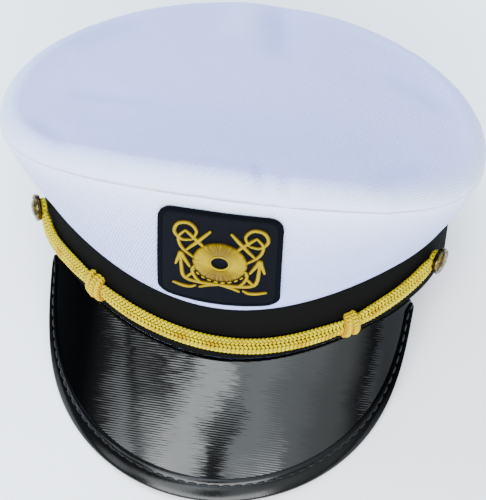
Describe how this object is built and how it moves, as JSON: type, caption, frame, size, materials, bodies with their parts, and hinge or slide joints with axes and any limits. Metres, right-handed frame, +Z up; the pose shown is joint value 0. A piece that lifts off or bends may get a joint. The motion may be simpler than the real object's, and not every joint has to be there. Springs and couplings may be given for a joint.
{
  "type": "captain cap",
  "caption": "Captain's cap with a puffed white cloth crown, black band, glossy ribbed visor, plaited yellow braid with buttons and an anchor badge patch.",
  "frame": {"origin": "bottom centre of the cap's box, on the surface it rests on", "axes": "+X to the picture's right, across the cap; front, with the visor, towards -Y; +Z up"},
  "size_m": [0.2258, 0.2524, 0.1443],
  "materials": {
    "white_cloth": "white cotton twill, matt",
    "black_cloth": "plain black cloth, matt",
    "gloss_vinyl": "black finely ribbed vinyl, glossy",
    "yellow_cord": "plaited yellow cord with a soft sheen",
    "brass": "aged gilt, polished",
    "navy_twill": "dark navy twill with a satin-stitched edge",
    "gold_thread": "gold embroidery thread with a sheen"
  },
  "bodies": {
    "root": {"crown_side": "white_cloth", "crown_top": "white_cloth", "band": "black_cloth", "visor": "gloss_vinyl", "visor_binding": "gloss_vinyl", "braid": "yellow_cord", "knot_left": "yellow_cord", "knot_right": "yellow_cord", "button_left": "brass", "button_right": "brass", "patch": "navy_twill", "emblem": "gold_thread"}
  },
  "joints": []
}
